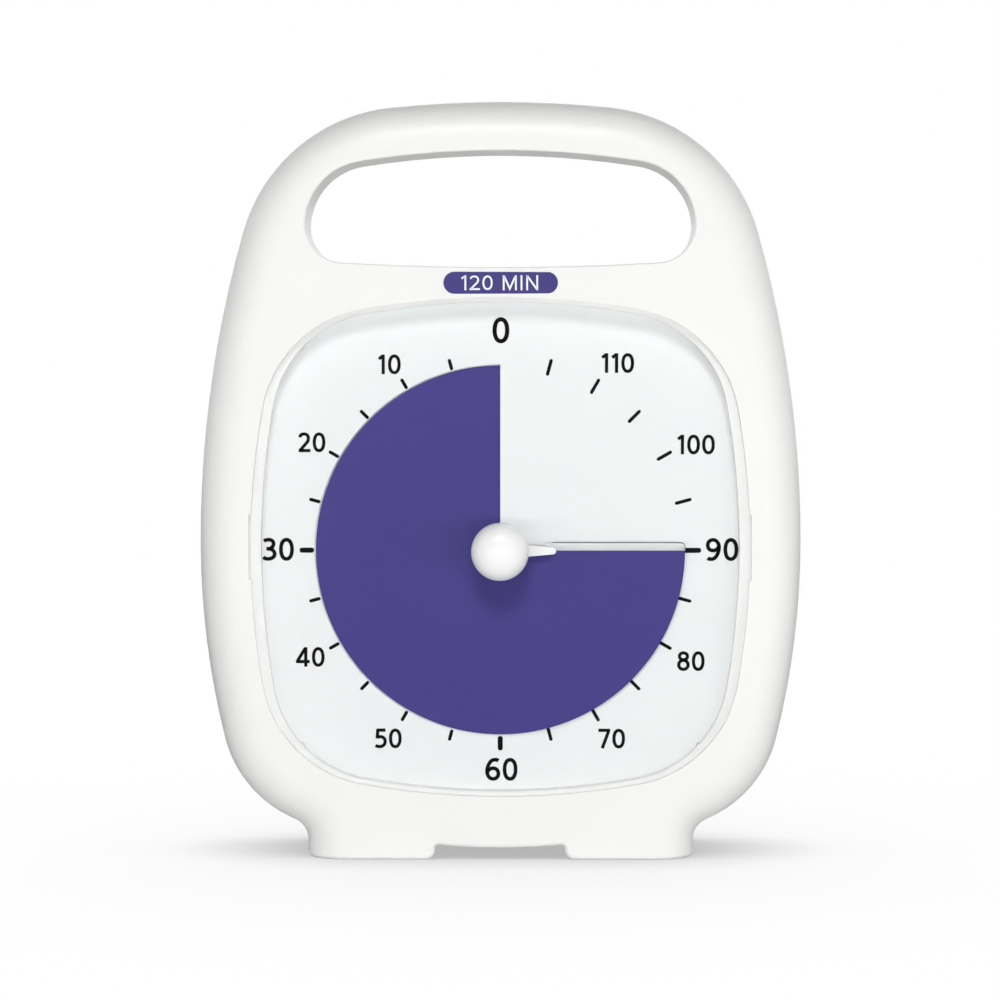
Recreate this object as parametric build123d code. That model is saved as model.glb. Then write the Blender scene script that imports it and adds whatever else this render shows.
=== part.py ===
"""Visual countdown timer: a white moulded case with a carrying handle, a clear lens over a numbered
dial, and a coloured disc that winds out of a slot in the dial as the centre knob is turned.

Every piece is drawn in front-view coordinates: x to the right, y up from the table, and z towards
the viewer with z = 0 at the flat front of the case. Depths are counted backwards from that face.
The finished pieces are then stood up, with +Z up and the front facing -Y.
"""
from build123d import *
import math
import os

# ---------------------------------------------------------------- driving dimensions, millimetres
# Case
case_width = 140.0
case_depth = 40.0
handle_depth = 21.0            # front to back, at the carrying handle
parting_depth = 12.0           # where the front and rear shells meet
wall = 2.2
front_edge_radius = 9.0
rear_edge_radius = 5.0
widest_height = 73.3
shoulder_inset = 18.6          # corner of the outline before it is rounded, in from the widest side
shoulder_drop = 5.3            # and down from the top
shoulder_radius = 40.0
lower_corner_inset = 9.4
lower_corner_height = 14.3
lower_corner_radius = 28.0
back_slope_drop = 4.1          # end of the back's slope, down from the opening's lower corners
back_slope_length = 37.0
back_slope_radius = 22.0

# Feet
foot_inset = 25.0              # outer side of a foot, in from the widest side of the case
foot_width = 30.0
neck_height = 7.0
neck_radius = 5.0
recess_height = 3.4            # beside the feet
recess_sag = 0.8               # how far the underside bows down between them
foot_heel_radius = 2.2         # lower corner of a foot, on the side of the recess
recess_corner_radius = 0.8
foot_edge_radius = 1.0

# Handle opening
handle_bar = 11.7              # height of the bar over the opening
grip_height = 25.8             # from the opening's lower corners to its top
grip_side_rise = 9.4           # its widest place, up from the lower corners
grip_top_rise = 23.25          # its rounded upper corners
grip_top_inset = 37.6          # the same places, in from the widest side of the case
grip_side_inset = 25.1
grip_bottom_inset = 33.5
grip_edge_radius = 0.6

# Window, lens and dial
dial_height = 71.5             # centre of the dial, knob and movement
window_rise = 0.9              # centre of the window above it
window_to_grip = 8.2           # from the window's top to the handle opening's lower corners
lens_half = 57.5
lens_bow = 7.1                 # how far each side bows out between its corners
lens_corner_radius = 28.0
lens_thickness = 1.8
lens_recess = 0.2
lens_gap = 0.25
lens_edge_radius = 0.6
lens_tab_height = 14.6
lens_tab_reach = 0.35
lens_hole_clearance = 0.45
window_ledge = 2.1             # on which the lens rests, at the sides
window_ledge_ends = 0.8        # and at the top and bottom
rim_outside = 2.6              # how far the window rim runs outside the lens
dial_front_depth = 6.2
dial_thickness = 1.2
dial_web = 0.5                 # thickness where the disc runs
dial_bore_clearance = 0.6
dial_skirt_margin = 0.3        # skirt behind the deepest end of the ramp
dial_rim_margin = 0.6          # from the dial's edge to the window rim's

# Countdown disc
disc_radius = 42.9
disc_thickness = 0.3
disc_pitch = 2.6               # advance in one turn
disc_gap = 0.25                # to the dial, above and below
disc_side_gap = 0.35
set_angle = 270.0              # degrees of disc in view at rest, counted from twelve o'clock
full_scale_angle = 360.0
collar_radius = 5.0
strip_width = 1.85
strip_start_radius = 10.5
strip_corner_radius = 1.0
pointer_reach = 13.0
pointer_root_half_width = 1.9
pointer_tip_half_width = 0.8
pointer_thickness = 0.9
pointer_lift = 1.2             # underside above the middle of the disc
hub_back_margin = 0.2
stem_nut_gap = 0.4

# Setting knob and arbor
knob_radius = 6.65
knob_height = 7.6
knob_dome_radius = 5.2
knob_lens_gap = 0.5
knob_stem_radius = 2.6
knob_stem_flat = 2.0
arbor_radius = 1.5
running_clearance = 0.05
seat_clearance = 0.02
arbor_seat_depth = 4.5         # length of arbor held inside the knob

# Movement
tail_clearance = 0.85
nut_thickness = 1.6
nut_flats = 10.0
chassis_thickness = 1.5
chassis_half_width = 43.0
chassis_half_height = 41.0
chassis_screw_x = 37.0
chassis_screw_y = 36.0
boss_radius = 3.0
board_boss_radius = 2.6
chassis_corner_radius = 8.0
chassis_window_width = 8.0
chassis_window_height = 40.0
chassis_window_corner = 3.0
chassis_window_inset = 9.0
bushing_radius = 4.0
bushing_flange_radius = 6.0
bushing_flange_thickness = 1.0
movement_size = 56.0
movement_depth = 15.0
movement_wall = 1.2
movement_base_thickness = 1.5
movement_corner_radius = 4.0

# Gear train
gear_module = 0.25
pinion_teeth = 8
first_wheel_teeth = 60
second_wheel_teeth = 64
tooth_addendum = 0.70          # as a share of the module
tooth_dedendum = 1.05
tooth_root_share = 0.56        # share of the tooth pitch
tooth_tip_share = 0.22
wheel_thickness = 0.8
wheel_pitch_depth = 1.9        # from one wheel's front to the next one's
gear_arbor_radius = 0.4
rotor_radius = 3.0
rotor_thickness = 2.0
drive_hub_radius = 2.6
drive_hub_step = 0.5
wheel_end_play = 0.3
pivot_depth = 0.8
train_angles = (-125.0, 165.0, 95.0, 20.0)     # from each wheel's centre to the next one's
clutch_radius = 3.6
clutch_thickness = 0.35
arbor_head_radius = 2.2
arbor_head_thickness = 0.4
stator_thickness = 1.0
stator_gap = 0.5               # round the rotor
stator_width = 9.0
stator_leg_width = 5.0
stator_post_radius = 1.67
stator_length = 34.0
coil_offset = 13.5             # above the rotor's centre
coil_radius = 2.6
coil_length = 20.0
coil_flange_height = 6.8
coil_flange_thickness = 1.0
coil_flange_step = 0.3         # flange round the winding
core_width = 2.4
movement_board_width = 18.0
movement_board_height = 20.0
movement_board_thickness = 1.0
movement_board_margin = 2.0    # to the walls of the movement's box
crystal_radius = 1.0
crystal_length = 6.0

# Battery bay and door
cell_radius = 7.25
cell_length = 49.5
cell_nub_radius = 2.7
cell_nub_length = 1.0
cell_play = 0.55               # round the cell in its bay
bay_wall = 1.5
bay_height = 22.0              # height of the cell's axis
spring_space = 4.2
contact_thickness = 0.5
contact_height = 10.2
contact_width = 10.9
spring_radius = 2.8
spring_wire_radius = 0.35
spring_turns = 3
door_thickness = 2.0
door_gap = 0.3
door_edge_radius = 0.98        # the door's lower edges, a half round that clears the bay
door_pin_radius = 0.8
door_pin_length = 1.6
door_notch_length = 14.0
door_notch_width = 2.4
door_notch_inset = 2.2         # from the door's upper edge

# Volume dial, sound board and speaker
volume_inset = 24.0            # axis, in from the widest side of the case
volume_height = 78.0
volume_radius = 9.0
volume_thickness = 2.6
volume_gap = 0.5
volume_flutes = 18
volume_flute_radius = 0.7
volume_floor = 1.1
volume_mark_radius = 5.4       # middle of the mark groove, from the dial's axis
volume_mark_length = 4.5
volume_mark_width = 1.0
volume_mark_depth = 0.5
pot_shaft_radius = 2.0
pot_shaft_grip = 1.8           # length of shaft inside the dial, and inside the potentiometer
pot_shaft_clearance = 0.3
pot_size = 10.0
pot_thickness = 4.5
chip_size = 8.0
chip_thickness = 1.4
board_thickness = 1.6
board_width = 28.0
board_height = 40.0
board_gap = 4.0                # from the movement's side to the sound board
speaker_radius = 13.0
speaker_thickness = 4.0
speaker_magnet_radius = 6.5
speaker_magnet_thickness = 2.0
grille_hole_radius = 1.0
grille_margin = 3.0            # inside the speaker's rim
grille_slots = 5
grille_pitch = 4.0

# Screws
channel_front_depth = 5.4      # hollow of the handle, behind the round of the front edge
low_screw_inset = 18.0         # case screws, in from the widest side of the case
low_screw_height = 21.0
side_screw_inset = 14.0
side_screw_drop = 12.6         # down from the opening's lower corners
handle_screw_inset = 18.8
handle_screw_rise = 11.9       # up from the same corners
case_screw_radius = 1.3
case_screw_head_radius = 2.6
case_screw_head_height = 1.8
case_screw_length = 12.0
case_post_radius = 3.4
small_screw_radius = 1.0
small_screw_head_radius = 2.0
small_screw_head_height = 1.2
small_screw_length = 4.5
rim_screw_inset = 10.9         # in from the lens's sides and ends
screw_hole_margin = 0.2        # hole left in front of a screw's tip
screw_clearance = 0.1          # round a shank that passes through
head_clearance = 0.2
driver_slot_width = 0.5
driver_slot_length = 3.1
driver_slot_depth = 0.9

# ---------------------------------------------------------------- derived sizes
half_width = case_width / 2
shoulder_x = half_width - shoulder_inset
lower_corner_x = half_width - lower_corner_inset
foot_outer_x = half_width - foot_inset
foot_inner_x = foot_outer_x - foot_width
window_height = dial_height + window_rise
grip_bottom = window_height + lens_half + window_to_grip
grip_corners = [(half_width - inset, grip_bottom + rise)
                for inset, rise in ((grip_top_inset, grip_top_rise), (grip_side_inset, grip_side_rise),
                                    (grip_bottom_inset, 0))]
grip_top = grip_bottom + grip_height
case_height = grip_top + handle_bar
shoulder_height = case_height - shoulder_drop
back_slope_end = grip_bottom - back_slope_drop
back_slope_start = back_slope_end - back_slope_length
case_screw_places = ((half_width - low_screw_inset, low_screw_height),
                     (half_width - side_screw_inset, grip_bottom - side_screw_drop),
                     (half_width - handle_screw_inset, grip_bottom + handle_screw_rise))
rim_screw_reach = lens_half - rim_screw_inset
small_hole_depth = small_screw_length - dial_thickness + screw_hole_margin
volume_x = half_width - volume_inset
board_x = movement_size / 2 + board_gap + board_width / 2

knob_proud = knob_lens_gap - lens_recess + knob_height
face_y = knob_proud - (case_depth + knob_proud) / 2
lens_back_depth = lens_recess + lens_thickness
dial_middle_depth = dial_front_depth + dial_web / 2
slot_step = disc_gap + (dial_web + disc_thickness) / 2     # from the disc's middle to the dial's
disc_front_depth = dial_middle_depth + slot_step - disc_pitch * set_angle / full_scale_angle
tail_depth = dial_middle_depth + slot_step + disc_pitch + disc_thickness / 2
nut_front_depth = tail_depth + tail_clearance
chassis_front_depth = nut_front_depth + nut_thickness
movement_front_depth = chassis_front_depth + chassis_thickness
movement_inside_depth = movement_front_depth + movement_base_thickness
movement_back_depth = movement_front_depth + movement_depth
movement_inside_back = movement_back_depth - movement_wall

drive_hub_front_depth = movement_inside_depth + bushing_flange_thickness + wheel_end_play
drive_wheel_depth = drive_hub_front_depth + drive_hub_step
arbor_end_depth = drive_wheel_depth + wheel_thickness + clutch_thickness + arbor_head_thickness
stem_end_depth = nut_front_depth - stem_nut_gap
hub_front_depth = disc_front_depth - pointer_lift - pointer_thickness
hub_back_depth = disc_front_depth + disc_pitch + disc_thickness / 2 + hub_back_margin
train_teeth = (second_wheel_teeth, second_wheel_teeth, first_wheel_teeth, first_wheel_teeth)
rotor_pinion_depth = drive_wheel_depth + (len(train_teeth) - 1) * wheel_pitch_depth
magnet_depth = rotor_pinion_depth + wheel_pitch_depth + wheel_end_play
stator_depth = magnet_depth + (rotor_thickness - stator_thickness) / 2

bay_length = cell_length + cell_nub_length + spring_space + 2 * contact_thickness
bay_half_height = cell_radius + cell_play
bay_top_depth = case_depth - door_thickness - 2 * bay_half_height
cell_axis_depth = case_depth - door_thickness - bay_half_height
cell_end_x = bay_length / 2 - contact_thickness - cell_nub_length
door_axis_height = bay_height - bay_half_height + door_gap + door_thickness / 2
door_axis_depth = case_depth - door_thickness / 2
volume_floor_depth = case_depth - volume_thickness - volume_gap
pot_back_depth = volume_floor_depth - volume_floor
board_back_depth = pot_back_depth - pot_thickness

FRONT_VIEW = Plane(origin=(0, face_y, 0), x_dir=(1, 0, 0), z_dir=(0, -1, 0))


# ---------------------------------------------------------------- helpers
def slab(outline, front, back):
    """An outline of the front view as a solid between two depths."""
    return extrude(Pos(0, 0, -back) * outline, back - front)


def rod(radius, front, back, x=0.0, y=dial_height):
    """A round bar along the depth."""
    return slab(Pos(x, y) * Circle(radius), front, back)


def tube(outer, inner, front, back, x=0.0, y=dial_height):
    """A round tube along the depth."""
    return rod(outer, front, back, x, y) - rod(inner, front, back, x, y)


def near(shape, *points):
    """The vertices of a symmetric outline nearest to the points and to their mirror images."""
    return [shape.vertices().sort_by_distance((side * x, y, 0))[0] for x, y in points for side in (1, -1)]


def mirrored(curves):
    """A list of curves and their mirror images across the middle of the case."""
    return curves + [mirror(curve, Plane.YZ) for curve in curves]


def outline_of(curves):
    """A closed outline from curves that meet end to end."""
    return make_face([edge for curve in curves for edge in curve.edges()])


def moved_out(outline, distance):
    """An outline moved out evenly, or in where distance is negative, with its arcs kept as arcs."""
    edges = offset(outline, distance).edges()
    return outline_of([Line(edge @ 0, edge @ 1) if edge.geom_type == GeomType.LINE
                       else ThreePointArc(edge @ 0, edge @ 0.5, edge @ 1) for edge in edges])


def save(name, shape):
    """Stand the piece up in the part's frame and write it."""
    placed = FRONT_VIEW.location * shape
    placed.label = name
    export_step(placed, os.path.join("parts", name + ".step"))


# ---------------------------------------------------------------- outlines of the case
def case_outline(feet=True):
    """Flared body with round shoulders and, unless left off, two feet with a bowed recess between."""
    flank_slope = (lower_corner_height - neck_height) / (lower_corner_x - foot_outer_x)
    flank_end_x = foot_outer_x - (neck_height - recess_height) / flank_slope
    foot = [(foot_outer_x, neck_height), (foot_outer_x, 0), (foot_inner_x, 0), (foot_inner_x, recess_height)]
    underside = foot if feet else [(flank_end_x, recess_height)]
    end_x = underside[-1][0]
    right = [
        TangentArc((half_width, widest_height), (shoulder_x, shoulder_height), tangent=(0, 1)),
        TangentArc((half_width, widest_height), (lower_corner_x, lower_corner_height), tangent=(0, -1)),
        Polyline((lower_corner_x, lower_corner_height), *underside),
    ]
    top = ThreePointArc((-shoulder_x, shoulder_height), (0, case_height), (shoulder_x, shoulder_height))
    bottom = ThreePointArc((-end_x, recess_height), (0, recess_height - recess_sag), (end_x, recess_height))
    outline = outline_of(mirrored(right) + [top, bottom])
    rounds = [((lower_corner_x, lower_corner_height), lower_corner_radius),
              ((shoulder_x, shoulder_height), shoulder_radius)]
    if feet:
        rounds += [((foot_outer_x, neck_height), neck_radius),
                   ((foot_inner_x, 0), foot_heel_radius),
                   ((foot_inner_x, recess_height), recess_corner_radius)]
    for corner, radius in rounds:
        outline = fillet(near(outline, corner), radius)
    return outline


def grip_outline():
    """The handle opening: a ring of long arcs, each tangent to the one before it."""
    right = grip_corners
    left = [(-x, y) for x, y in reversed(right)]
    curves = [ThreePointArc(left[-1], (0, grip_top), right[0])]
    for start, end in zip(right + left[:-1], right[1:] + left):
        curves.append(TangentArc(start, end, tangent=curves[-1] % 1))
    return outline_of(curves)


def window_outline(growth=0.0, stretch=0.0):
    """The bowed square of the lens, stretched at its top and bottom, and grown or shrunk evenly."""
    corner = lens_half - lens_bow
    tall, tall_corner = lens_half + stretch, corner + stretch
    points = [(corner, tall_corner), (-corner, tall_corner), (-corner, -tall_corner), (corner, -tall_corner)]
    middles = [(0, tall), (-lens_half, 0), (0, -tall), (lens_half, 0)]
    sides = [ThreePointArc(points[i], middles[i], points[(i + 1) % 4]) for i in range(4)]
    square = outline_of(sides)
    square = fillet(square.vertices(), lens_corner_radius)
    if growth:
        square = moved_out(square, growth)
    return Pos(0, window_height) * square


def side_profile(inset=0.0):
    """Depth of the case against its height, as a solid across the full width."""
    depth = case_depth - inset
    top_depth = handle_depth - inset
    points = [(0, -1), (depth, -1), (depth, back_slope_start - inset / 2), (top_depth, back_slope_end - inset / 2),
              (top_depth, case_height + 1), (0, case_height + 1)]
    profile = make_face(Polyline(*points, close=True).edges())
    knees = [profile.vertices().sort_by_distance((*points[i], 0))[0] for i in (2, 3)]
    profile = fillet(knees, back_slope_radius)
    across = Plane(origin=(-case_width, 0, 0), x_dir=(0, 0, -1), z_dir=(1, 0, 0))
    return across.location * extrude(profile, 2 * case_width)


# ---------------------------------------------------------------- shells
def body_cavity_outline():
    """Inside of the case below the handle opening."""
    bottom = recess_height + wall
    top = grip_bottom - 2 * wall
    inside = moved_out(case_outline(feet=False), -wall)
    return inside & (Pos(0, (bottom + top) / 2) * Rectangle(case_width, top - bottom))


def handle_channel_outline():
    """Inside of the hollow handle."""
    bottom = grip_bottom
    inside = moved_out(case_outline(feet=False), -wall) - moved_out(grip_outline(), wall)
    top = case_height
    return inside & (Pos(0, (bottom + top) / 2) * Rectangle(case_width, top - bottom))


def case_screws_at():
    """Every case screw, left and right."""
    return [(side * x, y) for x, y in case_screw_places for side in (1, -1)]


def lens_tab(growth=0.0):
    """The two snap tabs at the sides of the lens."""
    reach = lens_half + lens_tab_reach
    return Pos(0, window_height) * Rectangle(2 * (reach + growth), lens_tab_height + 2 * growth)


def middle_of_front_wall():
    """The front shell's rounded form, shrunk to the middle of its wall, where the screw posts end."""
    block = slab(moved_out(case_outline(feet=False), -wall / 2), wall / 2, parting_depth)
    face = block.faces().sort_by(Axis.Z)[-1]
    rounded = [edge for edge in face.edges() if edge.center().Y > recess_height + wall]
    return fillet(rounded, front_edge_radius - wall / 2)


def front_shell():
    outline = case_outline()
    shell = slab(outline, 0, parting_depth)
    face = shell.faces().sort_by(Axis.Z)[-1]
    outer = [edge for edge in face.edges()
             if edge.center().Y > recess_height + 0.1 or abs(edge.center().X) > foot_outer_x - 0.1]
    shell = fillet(outer, front_edge_radius)
    low = [edge for edge in shell.edges()
           if abs(edge.center().Z) < 0.01 and edge.center().Y < recess_height + 0.1]
    shell = fillet(low, foot_edge_radius)
    cavity = slab(body_cavity_outline(), wall, parting_depth)
    cavity_front = cavity.faces().sort_by(Axis.Z)[-1]
    cavity_sides = [edge for edge in cavity_front.edges() if abs(edge.center().X) > foot_outer_x]
    shell -= fillet(cavity_sides, front_edge_radius - wall)
    shell -= slab(handle_channel_outline(), channel_front_depth, parting_depth)
    shell -= slab(grip_outline(), 0, parting_depth)
    grip_edges = [edge for edge in shell.edges() if abs(edge.center().Z) < 0.01
                  and grip_bottom - wall < edge.center().Y < grip_top + wall]
    shell = fillet(grip_edges, grip_edge_radius)
    rim = slab(window_outline(rim_outside), wall / 2, dial_front_depth)
    shell += rim
    post_limit = middle_of_front_wall()
    for x, y in case_screws_at():
        shell += rod(case_post_radius, 0, parting_depth, x, y) & post_limit
    shell -= slab(window_outline(lens_gap) + lens_tab(lens_gap), 0, lens_back_depth)
    shell -= slab(window_outline(-window_ledge, window_ledge - window_ledge_ends), 0, dial_front_depth)
    for x, y in case_screws_at():
        shell -= rod(case_screw_radius + seat_clearance,
                     parting_depth - case_screw_length / 2 - screw_hole_margin, parting_depth, x, y)
    for x, y in rim_screws_at():
        shell -= rod(small_screw_radius + seat_clearance, dial_front_depth - small_hole_depth,
                     dial_front_depth, x, y)
    return shell


def rim_screws_at():
    """Four screws through the dial's corners into the window rim."""
    return [(sx * rim_screw_reach, window_height + sy * rim_screw_reach) for sx in (1, -1) for sy in (1, -1)]


def rear_surface_edges(block):
    """The outer edges of the back, without the knees across it and the edges under the feet."""
    back_faces = [face for face in block.faces()
                  if face.normal_at().Z < -0.3 and face.center().Z < -parting_depth - 0.1]
    edges = [edge for face in back_faces for edge in face.edges()]
    outer = [edge for edge in edges if sum(edge.is_same(other) for other in edges) == 1]
    return [edge for edge in outer
            if edge.center().Y > recess_height + 0.1 or abs(edge.center().X) > foot_outer_x - 0.1]


def battery_bay(growth=0.0):
    """The space for the cell and its contacts, open at the back."""
    outline = Rectangle(bay_length + 2 * growth, 2 * (bay_half_height + growth))
    return slab(Pos(0, bay_height) * outline, bay_top_depth - growth, case_depth)


def rear_shell():
    outline = case_outline()
    block = slab(outline, parting_depth, case_depth) & side_profile()
    block = fillet(rear_surface_edges(block), rear_edge_radius)
    shell = block - (slab(body_cavity_outline(), parting_depth, case_depth) & side_profile(wall))
    shell -= slab(handle_channel_outline(), parting_depth, handle_depth - wall)
    shell -= slab(grip_outline(), parting_depth, case_depth)
    inner_parts = battery_bay(bay_wall)
    inner_parts += rod(volume_radius + volume_gap + wall, pot_back_depth, case_depth, volume_x, volume_height)
    inner_parts += tube(speaker_radius + wall, speaker_radius + seat_clearance,
                        case_depth - wall - speaker_thickness, case_depth, -volume_x, volume_height)
    for x, y in case_screws_at():
        inner_parts += rod(case_post_radius, parting_depth, case_depth, x, y)
    for x, y in board_screws_at():
        inner_parts += rod(board_boss_radius, board_back_depth, case_depth, x, y)
    shell += inner_parts & (slab(outline, parting_depth, case_depth) & side_profile(wall / 2))
    shell -= battery_bay()
    shell -= door_pins(door_pin_radius + running_clearance, running_clearance)
    shell -= rod(volume_radius + volume_gap, volume_floor_depth, case_depth, volume_x, volume_height)
    shell -= rod(pot_shaft_radius + pot_shaft_clearance, pot_back_depth, case_depth, volume_x, volume_height)
    shell -= speaker_grille()
    head_depth = parting_depth + case_screw_length / 2
    for x, y in case_screws_at():
        shell -= rod(case_screw_radius + screw_clearance, parting_depth, head_depth, x, y)
        shell -= rod(case_screw_head_radius + head_clearance, head_depth, case_depth, x, y)
    for x, y in board_screws_at():
        shell -= rod(small_screw_radius + seat_clearance, board_back_depth,
                     board_back_depth + small_hole_depth, x, y)
    return shell


def speaker_grille():
    """Upright slots that follow the speaker's round front."""
    slots = Sketch()
    for i in range(grille_slots):
        x = (i - (grille_slots - 1) / 2) * grille_pitch
        length = 2 * math.sqrt((speaker_radius - grille_margin) ** 2 - x ** 2)
        slots += Pos(x, 0) * SlotOverall(length, 2 * grille_hole_radius, rotation=90)
    return slab(Pos(-volume_x, volume_height) * slots, case_depth - wall, case_depth)


def door_pins(radius, growth=0.0):
    """The two stub pins on which the battery door swings."""
    length = bay_length + 2 * (door_pin_length + growth)
    return Pos(0, door_axis_height, -door_axis_depth) * Rot(0, 90, 0) * Cylinder(radius, length)


def case_screws():
    """Pan-head screws that pull the rear shell onto the front shell."""
    head_depth = parting_depth + case_screw_length / 2
    head_back = head_depth + case_screw_head_height
    cross = Rectangle(driver_slot_width, driver_slot_length) + Rectangle(driver_slot_length, driver_slot_width)
    screws = Part()
    for x, y in case_screws_at():
        whole = screw(case_screw_radius, case_screw_length, case_screw_head_radius,
                      case_screw_head_height, head_depth, -1, x, y)
        screws += whole - slab(Pos(x, y) * cross, head_back - driver_slot_depth, head_back)
    return screws


def screw(radius, length, head_radius, head_height, seat_depth, direction, x, y):
    """A screw whose head sits at seat_depth; direction 1 drives it backwards, -1 forwards."""
    tip = seat_depth + direction * length
    top = seat_depth - direction * head_height
    shank = rod(radius, min(seat_depth, tip), max(seat_depth, tip), x, y)
    return shank + rod(head_radius, min(seat_depth, top), max(seat_depth, top), x, y)


# ---------------------------------------------------------------- window, dial and disc
def clear_lens():
    """Flat clear window with rounded front edges, two snap tabs and a hole for the knob's stem."""
    pane = slab(window_outline(), lens_recess, lens_back_depth)
    rim = pane.faces().sort_by(Axis.Z)[-1].edges()
    pane = fillet(rim, lens_edge_radius)
    pane += slab(lens_tab(), lens_recess + lens_thickness / 2, lens_back_depth)
    return pane - rod(knob_stem_radius + lens_hole_clearance, 0, lens_back_depth)


def helical_web(inner, outer, start, sweep, middle_depth, thickness):
    """A flat web wound as a screw: start and sweep in degrees to the left of twelve o'clock.

    middle_depth is the depth of the web's middle at its start; the web comes forward by one pitch
    in a full turn.
    """
    height = disc_pitch * sweep / 360
    edges = [Helix(disc_pitch, height, radius) for radius in (inner, outer)]
    surface = Face.make_surface_from_curves(edges[0].edge(), edges[1].edge())
    web = extrude(surface, thickness, dir=(0, 0, 1))
    return Pos(0, dial_height, -middle_depth - thickness / 2) * Rot(0, 0, 90 + start) * web


def sector(radius, start, sweep):
    """A pie slice of the dial, start and sweep in degrees to the left of twelve o'clock."""
    first, last = math.radians(90 + start), math.radians(90 + start + sweep)
    middle = (first + last) / 2
    points = [(radius * math.cos(angle), radius * math.sin(angle)) for angle in (first, middle, last)]
    arc = ThreePointArc(*points)
    return Pos(0, dial_height) * outline_of([Line((0, 0), points[0]), arc, Line(points[2], (0, 0))])


def dial_plate():
    """Numbered dial with a radial slot at twelve o'clock and a ramp that lets the disc out of it.

    The right half is flat. The left half starts a full slot below it at twelve o'clock and climbs
    level with it at six o'clock, half a pitch in half a turn.
    """
    run_radius = disc_radius + disc_side_gap
    bore = collar_radius + dial_bore_clearance
    skirt_back = dial_middle_depth + disc_pitch / 2 + dial_web / 2 + dial_skirt_margin
    plate = slab(window_outline(rim_outside - dial_rim_margin), dial_front_depth,
                 dial_front_depth + dial_thickness)
    plate += rod(run_radius + dial_thickness, dial_front_depth, skirt_back)
    plate -= rod(run_radius, dial_front_depth, skirt_back)
    flat = slab(sector(run_radius + dial_thickness / 2, 180, 180), dial_front_depth,
                dial_front_depth + dial_web)
    ramp = helical_web(bore, run_radius + dial_thickness / 2, 0, 180,
                       dial_middle_depth + disc_pitch / 2, dial_web)
    plate += flat - rod(bore, dial_front_depth, skirt_back)
    plate += ramp
    for x, y in rim_screws_at():
        plate -= rod(small_screw_radius + screw_clearance, dial_front_depth, skirt_back, x, y)
    for x, y in chassis_screws_at():
        plate += tube(boss_radius, small_screw_radius + seat_clearance,
                      dial_front_depth + dial_thickness, chassis_front_depth, x, y)
    return plate


def rim_screws():
    """Screws that hold the dial to the window rim."""
    seat = dial_front_depth + dial_thickness
    screws = Part()
    for x, y in rim_screws_at():
        screws += screw(small_screw_radius, small_screw_length, small_screw_head_radius,
                        small_screw_head_height, seat, -1, x, y)
    return screws


def timer_disc():
    """One turn of thin coloured sheet wound at the pitch of the slot."""
    start = set_angle - full_scale_angle
    start_depth = disc_front_depth + disc_pitch
    return helical_web(collar_radius, disc_radius, start, full_scale_angle, start_depth, disc_thickness)


def disc_edge_strip():
    """Clear strip along the disc's leading edge."""
    length = disc_radius - strip_start_radius
    strip = Pos(strip_start_radius + length / 2, strip_width / 2) * Rectangle(length, strip_width)
    outer = strip.vertices().sort_by_distance((disc_radius, strip_width, 0))[0]
    strip = fillet(outer, strip_corner_radius)
    return slab(Pos(0, dial_height) * strip, disc_front_depth - disc_thickness / 2,
                disc_front_depth + disc_thickness / 2)


def stem_outline(radius, flat):
    """The knob's round stem with its driving flat."""
    return Pos(0, dial_height) * (Circle(radius) & (Pos(0, flat - radius) * Rectangle(3 * radius, 2 * radius)))


def pointer_hub():
    """Collar that carries the disc and slides on the stem, with the pointer over the leading edge."""
    root, tip = pointer_root_half_width, pointer_tip_half_width
    arm_end = pointer_reach - tip
    arm = make_face(Polyline((0, root), (arm_end, tip), (arm_end, -tip), (0, -root), close=True).edges())
    arm += Pos(arm_end, 0) * Circle(tip)
    hub = rod(collar_radius, hub_front_depth, hub_back_depth)
    hub += slab(Pos(0, dial_height) * arm, hub_front_depth, hub_front_depth + pointer_thickness)
    bore = stem_outline(knob_stem_radius + running_clearance, knob_stem_flat + running_clearance)
    return hub - slab(bore, hub_front_depth, hub_back_depth)


# ---------------------------------------------------------------- knob and arbor
def setting_knob():
    """Domed knob in front of the lens, with a stem that passes through it and drives the disc."""
    back = lens_recess - knob_lens_gap
    cap = rod(knob_radius, back - knob_height, back)
    cap = fillet(cap.faces().sort_by(Axis.Z)[-1].edges(), knob_dome_radius)
    cap += slab(stem_outline(knob_stem_radius, knob_stem_flat), back, stem_end_depth)
    return cap - rod(arbor_radius + seat_clearance, back - arbor_seat_depth, stem_end_depth)


def setting_arbor():
    """Steel arbor from the knob to the slipping clutch, with its riveted head."""
    back = lens_recess - knob_lens_gap
    arbor = rod(arbor_radius, back - arbor_seat_depth, arbor_end_depth)
    return arbor + rod(arbor_head_radius, arbor_end_depth - arbor_head_thickness, arbor_end_depth)


def clutch_spring():
    """Dished washer that presses the drive wheel's friction clutch together."""
    return tube(clutch_radius, arbor_radius + running_clearance,
                arbor_end_depth - arbor_head_thickness - clutch_thickness,
                arbor_end_depth - arbor_head_thickness)


# ---------------------------------------------------------------- chassis and movement
def chassis_screws_at():
    """Four screws that hold the chassis behind the dial."""
    return [(sx * chassis_screw_x, dial_height + sy * chassis_screw_y) for sx in (1, -1) for sy in (1, -1)]


def board_screws_at():
    """Four screws at the corners of the sound board."""
    dx, dy = board_width / 2 - boss_radius, board_height / 2 - boss_radius
    return [(board_x + sx * dx, volume_height + sy * dy) for sx in (1, -1) for sy in (1, -1)]


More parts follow.
